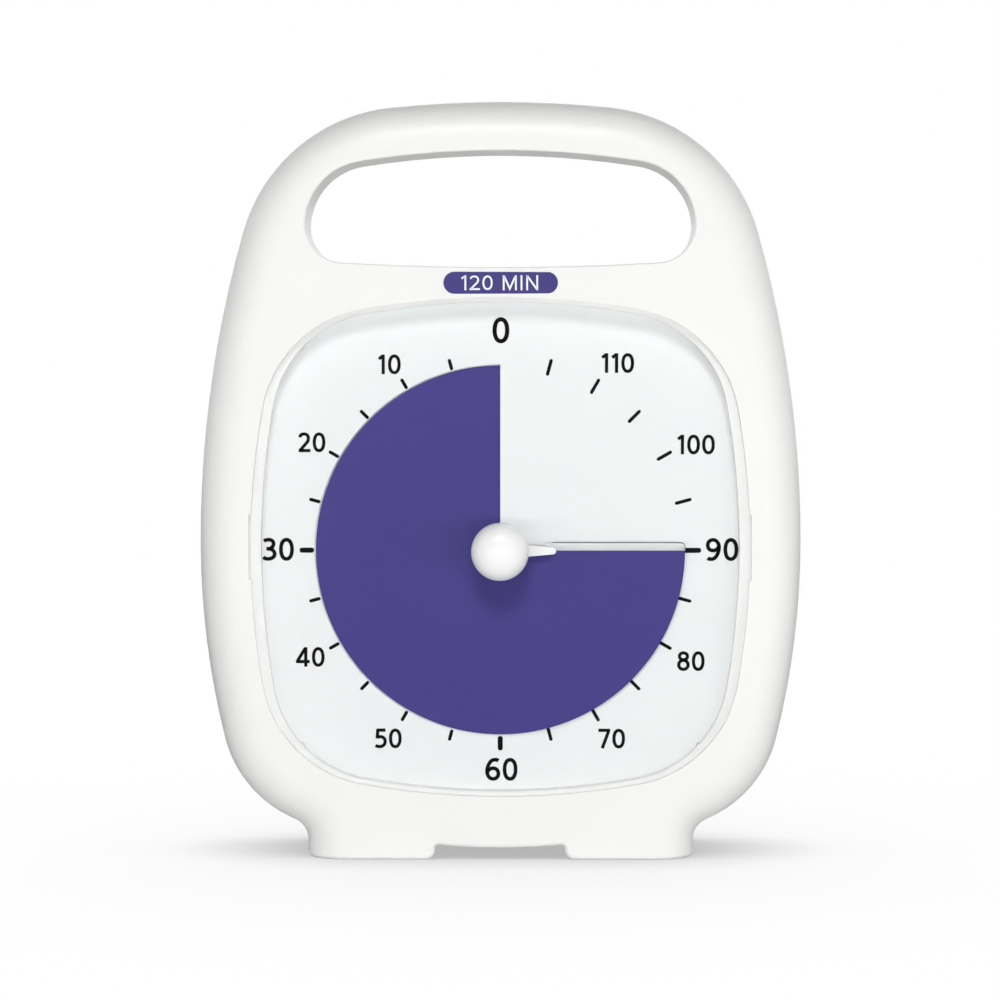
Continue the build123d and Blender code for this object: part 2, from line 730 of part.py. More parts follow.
def chassis_plate():
    """Flat carrier plate behind the dial, with a round-cornered window at each side."""
    plate = Pos(0, dial_height) * RectangleRounded(2 * chassis_half_width, 2 * chassis_half_height,
                                                   chassis_corner_radius)
    window = RectangleRounded(chassis_window_width, chassis_window_height, chassis_window_corner)
    for side in (1, -1):
        plate -= Pos(side * (chassis_half_width - chassis_window_inset), dial_height) * window
    body = slab(plate, chassis_front_depth, movement_front_depth)
    body -= rod(bushing_radius + running_clearance, chassis_front_depth, movement_front_depth)
    for x, y in chassis_screws_at():
        body -= rod(small_screw_radius + screw_clearance, chassis_front_depth, movement_front_depth, x, y)
    return body


def chassis_screws():
    screws = Part()
    for x, y in chassis_screws_at():
        screws += screw(small_screw_radius, small_screw_length, small_screw_head_radius,
                        small_screw_head_height, movement_front_depth, -1, x, y)
    return screws


def board_screws():
    screws = Part()
    for x, y in board_screws_at():
        screws += screw(small_screw_radius, small_screw_length, small_screw_head_radius,
                        small_screw_head_height, board_back_depth - board_thickness, 1, x, y)
    return screws


def threaded_bushing():
    """Brass bushing that clamps the movement to the chassis and guides the arbor."""
    body = rod(bushing_radius, nut_front_depth, movement_inside_depth)
    body += rod(bushing_flange_radius, movement_inside_depth, movement_inside_depth + bushing_flange_thickness)
    return body - rod(arbor_radius + running_clearance, nut_front_depth,
                      movement_inside_depth + bushing_flange_thickness)


def hex_nut():
    hexagon = Pos(0, dial_height) * RegularPolygon(nut_flats / 2, 6, major_radius=False)
    nut = slab(hexagon, nut_front_depth, chassis_front_depth)
    return nut - rod(bushing_radius + seat_clearance, nut_front_depth, chassis_front_depth)


def movement_box(size, front, back):
    return slab(Pos(0, dial_height) * RectangleRounded(size, size, movement_corner_radius), front, back)


def movement_base():
    """Front half of the movement's box: a plate with pivot holes for the gear arbors."""
    base = movement_box(movement_size, movement_front_depth, movement_inside_depth)
    base -= rod(bushing_radius + seat_clearance, movement_front_depth, movement_inside_depth)
    return base - pivots(movement_inside_depth - pivot_depth, movement_inside_depth)


def movement_cover():
    """Rear half of the movement's box."""
    cover = movement_box(movement_size, movement_inside_depth, movement_back_depth)
    cover -= movement_box(movement_size - 2 * movement_wall, movement_inside_depth, movement_inside_back)
    for x, y in stator_posts_at():
        cover += rod(stator_post_radius, stator_depth + stator_thickness, movement_inside_back, x, y)
    return cover - pivots(movement_inside_back, movement_inside_back + pivot_depth)


def pivots(front, back):
    """Blind pivot holes for every gear arbor."""
    holes = Part()
    for x, y in train_places()[1:]:
        holes += rod(gear_arbor_radius + running_clearance, front, back, x, y)
    return holes


# ---------------------------------------------------------------- gear train
def train_places():
    """Centres from the drive wheel back to the rotor, each one centre distance from the last."""
    places = [(0.0, dial_height)]
    for teeth, angle in zip(train_teeth, train_angles):
        distance = gear_module * (teeth + pinion_teeth) / 2
        x, y = places[-1]
        places.append((x + distance * math.cos(math.radians(angle)),
                       y + distance * math.sin(math.radians(angle))))
    return places


def gear_outline(teeth, tooth_angle):
    """A gear outline with straight-flanked teeth and one tooth centred on tooth_angle, in degrees."""
    pitch_radius = gear_module * teeth / 2
    root = pitch_radius - tooth_dedendum * gear_module
    tip = pitch_radius + tooth_addendum * gear_module
    pitch = 360 / teeth
    points = []
    for i in range(teeth):
        middle = tooth_angle + i * pitch
        for radius, share in ((root, -tooth_root_share), (tip, -tooth_tip_share),
                              (tip, tooth_tip_share), (root, tooth_root_share)):
            angle = math.radians(middle + share * pitch / 2)
            points.append((radius * math.cos(angle), radius * math.sin(angle)))
    return make_face(Polyline(*points, close=True).edges())


def gear_wheel(level, teeth):
    """A wheel of the train with its pinion one level in front of it, on a pivoted arbor."""
    places = train_places()
    x, y = places[level]
    wheel_front = wheel_depth(level)
    pinion_front = wheel_depth(level - 1)
    pinion_angle = train_angles[level - 1] + 180
    outline = Pos(x, y) * gear_outline(pinion_teeth, pinion_angle)
    wheel = slab(outline, pinion_front, wheel_front)
    if teeth:
        mesh_angle = train_angles[level] + 180 / teeth
        wheel += slab(Pos(x, y) * gear_outline(teeth, mesh_angle), wheel_front, wheel_front + wheel_thickness)
    arbor_front = movement_inside_depth - pivot_depth + running_clearance
    arbor_back = movement_inside_back + pivot_depth - running_clearance
    return wheel + rod(gear_arbor_radius, arbor_front, arbor_back, x, y)


def wheel_depth(level):
    """Front of the toothed plate of each wheel, counted from the drive wheel backwards."""
    return drive_wheel_depth + level * wheel_pitch_depth


def drive_wheel():
    """The slowest wheel: it carries the clutch and turns once in the full scale."""
    outline = Pos(0, dial_height) * gear_outline(train_teeth[0], train_angles[0] + 180 / train_teeth[0])
    wheel = slab(outline, drive_wheel_depth, drive_wheel_depth + wheel_thickness)
    wheel += rod(drive_hub_radius, drive_hub_front_depth, drive_wheel_depth + wheel_thickness)
    return wheel - rod(arbor_radius + running_clearance, drive_hub_front_depth,
                       drive_wheel_depth + wheel_thickness)


def rotor():
    """The stepping motor's rotor: a round magnet behind its pinion."""
    level = len(train_teeth)
    x, y = train_places()[level]
    return gear_wheel(level, 0) + rod(rotor_radius, magnet_depth, magnet_depth + rotor_thickness, x, y)


# ---------------------------------------------------------------- motor and electronics
def stator_legs_at():
    """Middle of the stator's two legs, level with the rotor."""
    x, y = train_places()[-1]
    left = x - stator_leg_width
    return [(left + stator_leg_width / 2, y), (left + stator_length - stator_leg_width / 2, y)]


def stator_posts_at():
    """Posts of the movement's cover that the stator rests on."""
    return [(x, y + coil_offset) for x, y in stator_legs_at()]


def stator():
    """Soft-iron frame with a round opening for the rotor and two legs up to the coil."""
    legs = stator_legs_at()
    x, y = train_places()[-1]
    middle_x = (legs[0][0] + legs[1][0]) / 2
    leg_top = coil_offset + core_width
    outline = Pos(middle_x, y) * Rectangle(stator_length, stator_width)
    for leg_x, leg_y in legs:
        outline += Pos(leg_x, leg_y + leg_top / 2) * Rectangle(stator_leg_width, leg_top)
    outline -= Pos(x, y) * Circle(rotor_radius + stator_gap)
    return slab(outline, stator_depth, stator_depth + stator_thickness)


def coil_centre():
    legs = stator_legs_at()
    return Pos((legs[0][0] + legs[1][0]) / 2, legs[0][1] + coil_offset, stator_thickness / 2 - stator_depth)


def coil_core():
    """Iron bar through the coil, lying across both legs of the stator."""
    return coil_centre() * Box(stator_length, core_width, stator_thickness)


def motor_coil():
    """Copper winding on its bobbin."""
    flange_depth = 2 * coil_radius
    winding = coil_centre() * Rot(0, 90, 0) * Cylinder(coil_radius - coil_flange_step, coil_length)
    for side in (1, -1):
        flange = Box(coil_flange_thickness, coil_flange_height, flange_depth)
        winding += coil_centre() * Pos(side * coil_length / 2, 0) * flange
    return winding - coil_centre() * Box(2 * coil_length, core_width, stator_thickness)


def movement_board_centre():
    """Centre of the movement's circuit board, in the lower right corner of its box."""
    margin = movement_size / 2 - movement_wall - movement_board_margin
    return margin - movement_board_width / 2, dial_height - margin + movement_board_height / 2


def movement_board():
    outline = Pos(*movement_board_centre()) * Rectangle(movement_board_width, movement_board_height)
    return slab(outline, movement_inside_back - movement_board_thickness, movement_inside_back)


def quartz_crystal():
    """Small round can lying on the circuit board."""
    x, y = movement_board_centre()
    depth = movement_inside_back - movement_board_thickness - crystal_radius
    return Pos(x, y + movement_board_height / 4, -depth) * Rot(0, 90, 0) * Cylinder(crystal_radius, crystal_length)


# ---------------------------------------------------------------- battery and its door
def along_bay(radius, start, end):
    """A round bar along the battery bay's axis."""
    place = Pos((start + end) / 2, bay_height, -cell_axis_depth)
    return place * Rot(0, 90, 0) * Cylinder(radius, end - start)


def aa_cell():
    body = along_bay(cell_radius, cell_end_x - cell_length, cell_end_x)
    body = fillet(body.edges().filter_by(GeomType.CIRCLE), cell_play)
    return body + along_bay(cell_nub_radius, cell_end_x, cell_end_x + cell_nub_length)


def contact_plate(side):
    """Spring-steel plate at one end of the bay."""
    x = side * (bay_length - contact_thickness) / 2
    return Pos(x, bay_height, -cell_axis_depth) * Box(contact_thickness, contact_height, contact_width)


def negative_spring():
    """Coil spring between the negative contact and the cell."""
    start = contact_thickness - bay_length / 2
    path = Helix(spring_space / (spring_turns + 1), spring_space * spring_turns / (spring_turns + 1),
                 spring_radius, lefthand=False)
    wire = sweep(Plane(origin=path @ 0, z_dir=path % 0) * Circle(spring_wire_radius), path=path, is_frenet=True)
    rise = spring_space / (spring_turns + 1) / 2
    return Pos(start + rise, bay_height, -cell_axis_depth) * Rot(0, 90, 0) * wire


def battery_door():
    """Flush cover that swings on two stub pins at its lower edge, with a finger notch at the top."""
    width = bay_length - 2 * door_gap
    height = 2 * (bay_half_height - door_gap)
    door = slab(Pos(0, bay_height) * Rectangle(width, height), case_depth - door_thickness, case_depth)
    low = [edge for edge in door.edges().filter_by(Axis.X) if edge.center().Y < bay_height]
    door = fillet(low, door_edge_radius)
    notch = Pos(0, bay_height + height / 2 - door_notch_inset) * SlotOverall(door_notch_length, door_notch_width)
    door -= slab(notch, case_depth - door_thickness / 2, case_depth)
    return door + door_pins(door_pin_radius)


# ---------------------------------------------------------------- volume dial, sound board, speaker
def volume_dial():
    """Fluted finger dial let into the back, with a mark groove."""
    flutes = Sketch() + [Rot(0, 0, i * 360 / volume_flutes) * Pos(volume_radius, 0) * Circle(volume_flute_radius)
                         for i in range(volume_flutes)]
    outline = Pos(volume_x, volume_height) * (Circle(volume_radius) - flutes)
    dial = slab(outline, case_depth - volume_thickness, case_depth)
    groove = SlotOverall(volume_mark_length, volume_mark_width, rotation=90)
    dial -= slab(Pos(volume_x, volume_height + volume_mark_radius) * groove,
                 case_depth - volume_mark_depth, case_depth)
    return dial - rod(pot_shaft_radius + seat_clearance, case_depth - volume_thickness,
                      case_depth - volume_thickness + pot_shaft_grip, volume_x, volume_height)


def volume_shaft():
    return rod(pot_shaft_radius, pot_back_depth - pot_shaft_grip,
               case_depth - volume_thickness + pot_shaft_grip, volume_x, volume_height)


def potentiometer():
    """Square body on the sound board that holds the volume dial's shaft."""
    outline = Pos(volume_x, volume_height) * Rectangle(pot_size, pot_size)
    body = slab(outline, board_back_depth, pot_back_depth)
    return body - rod(pot_shaft_radius + running_clearance, pot_back_depth - pot_shaft_grip - seat_clearance,
                      pot_back_depth, volume_x, volume_height)


def sound_board():
    outline = Pos(board_x, volume_height) * Rectangle(board_width, board_height)
    board = slab(outline, board_back_depth - board_thickness, board_back_depth)
    for x, y in board_screws_at():
        board -= rod(small_screw_radius + screw_clearance, board_back_depth - board_thickness,
                     board_back_depth, x, y)
    return board


def sound_chip():
    outline = Pos(board_x, volume_height) * Rectangle(chip_size, chip_size)
    front = board_back_depth - board_thickness - chip_thickness
    return slab(outline, front, front + chip_thickness)


def speaker():
    """Round alarm speaker that faces the slots in the back."""
    back = case_depth - wall
    front = back - speaker_thickness
    body = rod(speaker_radius, front, back, -volume_x, volume_height)
    return body + rod(speaker_magnet_radius, front - speaker_magnet_thickness, front, -volume_x, volume_height)


PIECES = {
    "front_shell": front_shell, "rear_shell": rear_shell, "case_screws": case_screws,
    "clear_lens": clear_lens, "dial_plate": dial_plate, "rim_screws": rim_screws,
    "timer_disc": timer_disc, "disc_edge_strip": disc_edge_strip, "pointer_hub": pointer_hub,
    "setting_knob": setting_knob, "setting_arbor": setting_arbor, "clutch_spring": clutch_spring,
    "chassis_plate": chassis_plate, "chassis_screws": chassis_screws,
    "threaded_bushing": threaded_bushing, "hex_nut": hex_nut,
    "movement_base": movement_base, "movement_cover": movement_cover,
    "drive_wheel": drive_wheel, "rotor": rotor,
    "stator": stator, "coil_core": coil_core, "motor_coil": motor_coil,
    "movement_board": movement_board, "quartz_crystal": quartz_crystal,
    "aa_cell": aa_cell, "negative_spring": negative_spring, "battery_door": battery_door,
    "volume_dial": volume_dial, "volume_shaft": volume_shaft, "potentiometer": potentiometer,
    "sound_board": sound_board, "sound_chip": sound_chip, "board_screws": board_screws,
    "speaker": speaker,
}

if __name__ == "__main__":
    os.makedirs("parts", exist_ok=True)
    for name, make in PIECES.items():
        save(name, make())
    save("positive_contact", contact_plate(1))
    save("negative_contact", contact_plate(-1))
    for level, name in ((1, "hour_wheel"), (2, "middle_wheel"), (3, "motor_wheel")):
        save(name, gear_wheel(level, train_teeth[level]))
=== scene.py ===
"""Finishes, dial printing, badge, studio and camera for the visual countdown timer.

The moulded and turned pieces come from the frame; this file gives each of them its material, adds what
is printed on the timer, and sets up a plain pale studio. Sizes are written in millimetres and turned
to metres by MM. The front of the case faces -Y, and +Z is up.
"""
import bpy
import bmesh
import math
from mathutils import Matrix, Vector
from mathutils.geometry import interpolate_bezier


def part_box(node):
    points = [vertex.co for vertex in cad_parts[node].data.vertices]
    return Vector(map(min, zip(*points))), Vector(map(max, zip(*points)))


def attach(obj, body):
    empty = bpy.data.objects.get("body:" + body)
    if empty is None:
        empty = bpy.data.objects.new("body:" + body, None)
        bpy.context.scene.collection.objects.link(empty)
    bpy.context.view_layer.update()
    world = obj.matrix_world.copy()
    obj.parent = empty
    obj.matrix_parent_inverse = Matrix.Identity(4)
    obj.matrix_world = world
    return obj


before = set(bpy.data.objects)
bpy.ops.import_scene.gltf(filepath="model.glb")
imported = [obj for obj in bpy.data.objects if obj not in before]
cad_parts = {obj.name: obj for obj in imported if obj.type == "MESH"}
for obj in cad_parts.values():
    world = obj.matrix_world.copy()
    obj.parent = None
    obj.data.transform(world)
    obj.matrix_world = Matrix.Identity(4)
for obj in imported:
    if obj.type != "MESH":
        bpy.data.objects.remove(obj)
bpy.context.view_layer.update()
MM = 0.001

# ---------------------------------------------------------------- places taken from the frame
face_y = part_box("front_shell")[0].y
dial_face_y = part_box("dial_plate")[0].y
disc_low, disc_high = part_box("timer_disc")
dial_z = (disc_low.z + disc_high.z) / 2


# ---------------------------------------------------------------- colour and node helpers
def colour(hex_code):
    """An sRGB hex colour as linear red, green, blue and alpha."""
    channels = [int(hex_code[i:i + 2], 16) / 255 for i in (1, 3, 5)]
    linear = [c / 12.92 if c <= 0.04045 else ((c + 0.055) / 1.055) ** 2.4 for c in channels]
    return (*linear, 1.0)


def add(owner, kind, settings=None, **links):
    """Add a node to a material or world.

    settings are the node's own attributes, or values of its unlinked sockets by name or number. links are
    outputs of other nodes, each by the name of the socket that it feeds, with _ for a space, or by _ and
    the socket's number.
    """
    node = owner.node_tree.nodes.new(kind)
    for name, value in (settings or {}).items():
        if isinstance(name, str) and hasattr(node, name):
            setattr(node, name, value)
        else:
            node.inputs[name].default_value = value
    for name, source in links.items():
        socket = node.inputs[int(name[1:])] if name[0] == "_" else node.inputs[name.replace("_", " ")]
        owner.node_tree.links.new(source, socket)
    return node


# A Mix node has a set of sockets for each kind of value: these are the two colours and their blend.
MIX_A, MIX_B, MIX_RESULT = 6, 7, 2


def bare(owner):
    """A new material or world, with an empty node tree."""
    owner.use_nodes = True
    owner.node_tree.nodes.clear()
    return owner


def material(name):
    """A new material with its Principled shader, output and Object coordinates in millimetres."""
    made = bare(bpy.data.materials.new(name))
    output = add(made, "ShaderNodeOutputMaterial")
    shader = add(made, "ShaderNodeBsdfPrincipled")
    made.node_tree.links.new(shader.outputs[0], output.inputs["Surface"])
    place = add(made, "ShaderNodeTexCoord")
    mapping = add(made, "ShaderNodeMapping", {"Scale": (1 / MM, 1 / MM, 1 / MM)},
                  Vector=place.outputs["Object"])
    return made, shader, mapping.outputs[0], output


def vary(made, shader, base, other, tint_by, grain_by, roughness, spread, depth):
    """Vary a surface between two colours by one pattern, and its roughness and relief by another."""
    tint = add(made, "ShaderNodeMix", {"data_type": "RGBA", MIX_A: colour(base), MIX_B: colour(other)},
               Factor=tint_by)
    sheen = add(made, "ShaderNodeMapRange", {"To Min": roughness - spread, "To Max": roughness + spread},
                Value=grain_by)
    relief = add(made, "ShaderNodeBump", {"Strength": 1.0, "Distance": depth * MM}, Height=grain_by)
    links = made.node_tree.links
    links.new(tint.outputs[MIX_RESULT], shader.inputs["Base Color"])
    links.new(sheen.outputs[0], shader.inputs["Roughness"])
    links.new(relief.outputs[0], shader.inputs["Normal"])


def moulded(name, base, worn, roughness, spread, grain, depth, ior=1.53, blotch=14.0):
    """A moulded or printed plastic: two close colours in large soft patches, and a fine surface grain.

    spread is how far the roughness strays either way. grain is the size of the mould texture, depth its
    relief and blotch the size of the patches, all in millimetres.
    """
    made, shader, mm, _ = material(name)
    patches = add(made, "ShaderNodeTexNoise", {"Scale": 1 / blotch, "Detail": 3.0}, Vector=mm)
    texture = add(made, "ShaderNodeTexNoise", {"Scale": 1 / grain, "Detail": 2.0, "Roughness": 0.6},
                  Vector=mm)
    vary(made, shader, base, worn, patches.outputs["Fac"], texture.outputs["Fac"], roughness, spread, depth)
    shader.inputs["IOR"].default_value = ior
    return made


def metal(name, base, dark, roughness, grain, spread=0.08, stretch=(1.0, 1.0, 1.0), depth=0.004):
    """A bare metal: lines or specks left by rolling or turning, stretched along the tool's way.

    grain is the size of a speck and depth its relief, in millimetres. An axis with a small stretch has
    long specks along it.
    """
    made, shader, mm, _ = material(name)
    along = add(made, "ShaderNodeMapping", {"Scale": stretch}, Vector=mm)
    lines = add(made, "ShaderNodeTexNoise", {"Scale": 1 / grain, "Detail": 4.0}, Vector=along.outputs[0])
    vary(made, shader, base, dark, lines.outputs["Fac"], lines.outputs["Fac"], roughness, spread, depth)
    shader.inputs["Metallic"].default_value = 1.0
    return made


def clear(name, tint, roughness, ior):
    """Clear moulded plastic that lets the lamps through to what lies behind it."""
    made, shader, _, output = material(name)
    shader.inputs["Base Color"].default_value = colour(tint)
    shader.inputs["Transmission Weight"].default_value = 1.0
    shader.inputs["Roughness"].default_value = roughness
    shader.inputs["IOR"].default_value = ior
    rays = add(made, "ShaderNodeLightPath")
    through = add(made, "ShaderNodeBsdfTransparent", {"Color": colour(tint)})
    lamps = add(made, "ShaderNodeMath", {"operation": "MAXIMUM"}, _0=rays.outputs["Is Shadow Ray"],
                _1=rays.outputs["Is Diffuse Ray"])
    both = add(made, "ShaderNodeMixShader", None, _0=lamps.outputs[0], _1=shader.outputs[0],
               _2=through.outputs[0])
    made.node_tree.links.new(both.outputs[0], output.inputs["Surface"])
    return made


# ---------------------------------------------------------------- finishes
# Injection-moulded ABS in a warm white: satin, with a spark-eroded mould grain that softens highlights.
# The rim screws are lacquered to match it, because their tips show beside the lens.
shell_white = moulded("satin_white_moulded_ABS", "#F9F9F7", "#F6F6F4",
                      roughness=0.40, spread=0.04, grain=0.45, depth=0.006)
# The same resin from a polished mould: the lamps show as a soft bright spot on the dome.
knob_white = moulded("polished_white_ABS", "#FCFCFB", "#F9F9F8",
                     roughness=0.26, spread=0.03, grain=0.6, depth=0.002)
# Sheet polystyrene with a cool matte print ground: flat and even, so that the numbers stay readable.
dial_white = moulded("matte_printed_polystyrene", "#F4F6F6", "#F2F5F5",
                     roughness=0.62, spread=0.04, grain=0.4, depth=0.002, ior=1.59)
# Dyed polypropylene sheet: deep violet, matte, with the slightest rolled grain.
disc_violet = moulded("matte_violet_polypropylene", "#433A88", "#403785",
                      roughness=0.55, spread=0.04, grain=0.6, depth=0.001, ior=1.49)
# Screen-printing ink: dense neutral black, and matte, so that the numbers stay dark under the lamps.
ink_black = moulded("black_screen_ink", "#040405", "#070708",
                    roughness=0.8, spread=0.04, grain=0.5, depth=0.001, ior=1.3)
# Pad-printed violet label ink with white lettering over it: smooth and even.
badge_violet = moulded("violet_pad_print", "#4A4087", "#473E84",
                       roughness=0.38, spread=0.03, grain=0.5, depth=0.001, ior=1.5)
badge_white = moulded("white_pad_print", "#FAFAFC", "#F6F6FA",
                      roughness=0.40, spread=0.03, grain=0.5, depth=0.001, ior=1.5)
# Clear moulded acrylic with an anti-glare coat, which is why its index is set below the resin's 1.49.
lens_clear = clear("coated_clear_acrylic", "#FFFFFF", roughness=0.01, ior=1.33)
# Frosted polyester film: a faint white veil, a little brighter than the dial under it.
strip_frosted = moulded("frosted_polyester_film", "#FFFFFF", "#FCFDFD",
                        roughness=0.45, spread=0.04, grain=0.4, depth=0.001, ior=1.57)
strip_frosted.node_tree.nodes["Principled BSDF"].inputs["Alpha"].default_value = 0.4
# Painted shade along the film's guillotined edge, where a clear edge loses the light: a mid grey, matte line.
painted_edge_shade = moulded("painted_film_edge_shade", "#5E6166", "#56595E",
                   roughness=0.6, spread=0.04, grain=0.4, depth=0.001, ior=1.57)
# Black moulded polystyrene for the inner works: dull, with a coarse mould grain.
inner_black = moulded("dull_black_polystyrene", "#1B1C1E", "#242527",
                      roughness=0.55, spread=0.06, grain=0.5, depth=0.008, ior=1.59)
# Natural acetal gears: milky, waxy and slightly warm.
acetal = moulded("natural_acetal", "#ECEBE3", "#E4E2D8",
                 roughness=0.42, spread=0.04, grain=0.4, depth=0.002, ior=1.48, blotch=5.0)
# Turned brass: yellow metal with fine tool rings.
brass = metal("turned_brass", "#D8B66A", "#C39C4E", roughness=0.26, grain=0.5, stretch=(1.0, 6.0, 1.0))
# Bright zinc plate on steel: cool grey metal with a faint cloudy bloom.
zinc = metal("zinc_plated_steel", "#C9CCD0", "#B1B4B9", roughness=0.30, grain=1.2)
# Nickel-plated spring steel: bright and smooth, drawn along the wire.
nickel = metal("nickel_plated_spring_steel", "#D2D0CB", "#BFBDB8",
               roughness=0.22, grain=0.8, stretch=(0.2, 1.0, 1.0), depth=0.002)
# Glass-epoxy board with solder mask: deep green and slightly glossy.
board_green = moulded("green_solder_mask", "#1E6A3C", "#185A32",
                      roughness=0.35, spread=0.05, grain=0.8, depth=0.004, ior=1.55, blotch=4.0)
# Chip moulding compound: charcoal and powdery.
chip_black = moulded("charcoal_epoxy_moulding", "#26272A", "#303135",
                     roughness=0.68, spread=0.05, grain=0.3, depth=0.004, ior=1.55)
# Treated paper speaker cone: dark, fibrous and matte.
cone_black = moulded("dark_speaker_paper", "#232326", "#2E2E31",
                     roughness=0.78, spread=0.06, grain=0.6, depth=0.02, ior=1.45)


def copper_winding():
    """Enamelled copper wire: glossy red-brown turns.

    The real wire is too fine to see, so its turns are drawn 1 mm apart.
    """
    made, shader, mm, _ = material("enamelled_copper_wire")
    # A wave of scale 1 has a band every 0.314 units, so this scale has one to a millimetre.
    turns = add(made, "ShaderNodeTexWave", {"wave_type": "BANDS", "bands_direction": "X", "Scale": 0.3125,
                                            "Distortion": 0.3}, Vector=mm)
    tint = add(made, "ShaderNodeMix", {"data_type": "RGBA", MIX_A: colour("#6E2F16"),
                                       MIX_B: colour("#C4703C")}, Factor=turns.outputs["Fac"])
    relief = add(made, "ShaderNodeBump", {"Strength": 1.0, "Distance": 0.08 * MM},
                 Height=turns.outputs["Fac"])
    made.node_tree.links.new(tint.outputs[MIX_RESULT], shader.inputs["Base Color"])
    made.node_tree.links.new(relief.outputs[0], shader.inputs["Normal"])
    shader.inputs["Metallic"].default_value = 0.8
    shader.inputs["Roughness"].default_value = 0.3
    return made


# The cell from its negative end: where each colour begins, as a share of the length.
CELL_BANDS = ((0.0, "#C6C4BF"), (0.012, "#1D1E22"), (0.70, "#E8E4DC"), (0.715, "#B4703A"), (0.965, "#C6C4BF"))


def cell_jacket():
    """Shrink-wrapped battery jacket: gloss black, a copper band at the positive end, and bare steel caps."""
    made, shader, mm, _ = material("printed_cell_jacket")
    low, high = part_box("aa_cell")
    along = add(made, "ShaderNodeSeparateXYZ", None, Vector=mm)
    place = add(made, "ShaderNodeMapRange", {"From Min": low.x / MM, "From Max": high.x / MM},
                Value=along.outputs["X"])
    bands = add(made, "ShaderNodeValToRGB", None, _0=place.outputs[0])
    bands.color_ramp.interpolation = "CONSTANT"
    stops = bands.color_ramp.elements
    for (start, shade), stop in zip(CELL_BANDS, stops):
        stop.position, stop.color = start, colour(shade)
    for start, shade in CELL_BANDS[len(stops):]:
        stops.new(start).color = colour(shade)
    # The wrap shrinks a little unevenly, in hollows about 3 mm across.
    wrap = add(made, "ShaderNodeTexNoise", {"Scale": 1 / 3.0, "Detail": 2.0}, Vector=mm)
    relief = add(made, "ShaderNodeBump", {"Strength": 1.0, "Distance": 0.02 * MM}, Height=wrap.outputs["Fac"])
    made.node_tree.links.new(bands.outputs[0], shader.inputs["Base Color"])
    made.node_tree.links.new(relief.outputs[0], shader.inputs["Normal"])
    shader.inputs["Metallic"].default_value = 0.35
    shader.inputs["Roughness"].default_value = 0.28
    return made


FINISHES = {
    shell_white: ("front_shell", "rear_shell", "battery_door", "rim_screws"),
    knob_white: ("setting_knob", "pointer_hub", "volume_dial", "volume_shaft"),
    dial_white: ("dial_plate",),
    disc_violet: ("timer_disc",),
    lens_clear: ("clear_lens",),
    strip_frosted: ("disc_edge_strip",),
    inner_black: ("chassis_plate", "movement_base", "movement_cover"),
    acetal: ("drive_wheel", "hour_wheel", "middle_wheel", "motor_wheel"),
    brass: ("threaded_bushing", "hex_nut", "clutch_spring"),
    zinc: ("case_screws", "chassis_screws", "board_screws", "setting_arbor", "stator",
           "coil_core", "quartz_crystal", "potentiometer", "rotor"),
    nickel: ("negative_spring", "positive_contact", "negative_contact"),
    board_green: ("movement_board", "sound_board"),
    chip_black: ("sound_chip",),
    cone_black: ("speaker",),
    copper_winding(): ("motor_coil",),
    cell_jacket(): ("aa_cell",),
}
for finish, nodes in FINISHES.items():
    for name in nodes:
        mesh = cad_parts[name].data
        mesh.materials.clear()
        mesh.materials.append(finish)


# ---------------------------------------------------------------- pieces and pen strokes
def in_scene(name, data):
    """A new object for a mesh, lamp or camera, linked to the scene."""
    made = bpy.data.objects.new(name, data)
    bpy.context.scene.collection.objects.link(made)
    return made


def mesh_object(name, bm, finish):
    """Turn a bmesh into an object with its finish."""
    mesh = bpy.data.meshes.new(name)
    bm.to_mesh(mesh)
    bm.free()
    mesh.materials.append(finish)
    return in_scene(name, mesh)


def piece(name, bm, finish, body):
    """Turn a bmesh into a piece that rides on a body."""
    made = mesh_object(name, bm, finish)
    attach(made, body)


def corners(geometry):
    """The vertices among what an operator made."""
    return [part for part in geometry if isinstance(part, bmesh.types.BMVert)]


def on_front(x, z, y):
    """Place of a print drawn in its own XY plane, standing upright and facing -Y at a point."""
    return Matrix.Translation((x, y, z)) @ Matrix.Rotation(math.radians(90), 4, "X")


def rounded_bar(bm, length, width, thickness, place):
    """A bar with round ends, drawn along X and raised along Z; its first end is round the origin.

    It is then moved to its place.
    """
    end = bmesh.ops.create_circle(bm, cap_ends=True, segments=24, radius=width / 2)["verts"]
    rounding = 1e-7
    far_half = [vert for vert in end if vert.co.x > rounding]
    bmesh.ops.translate(bm, verts=far_half, vec=(length - width, 0, 0))
    raised = bmesh.ops.extrude_face_region(bm, geom=list(end[0].link_faces))["geom"]
    top = corners(raised)
    bmesh.ops.translate(bm, verts=top, vec=(0, 0, thickness))
    bmesh.ops.recalc_face_normals(bm, faces=list({face for vert in end + top for face in vert.link_faces}))
    bmesh.ops.transform(bm, matrix=place, verts=end + top)


CURVE_POINTS = 13  # on each curved stretch, both ends counted


def curve_points(knots, closed):
    """Points along a curve through knots (x, y, handle x, handle y); the handles are equal and opposite."""
    points = []
    pairs = zip(knots, knots[1:] + knots[:1]) if closed else zip(knots, knots[1:])
    for (x0, y0, hx0, hy0), (x1, y1, hx1, hy1) in pairs:
        straight = hx0 == hy0 == hx1 == hy1 == 0
        start, end = Vector((x0, y0)), Vector((x1, y1))
        curve = interpolate_bezier(start, start + Vector((hx0, hy0)), end - Vector((hx1, hy1)), end,
                                   2 if straight else CURVE_POINTS)
        points += [Vector(point[:2]) for point in curve[:-1]]
    return points if closed else points + [Vector(knots[-1][:2])]


MITRE_LIMIT = 0.4  # a sharp turn widens the nib no further than 1 / 0.4 times


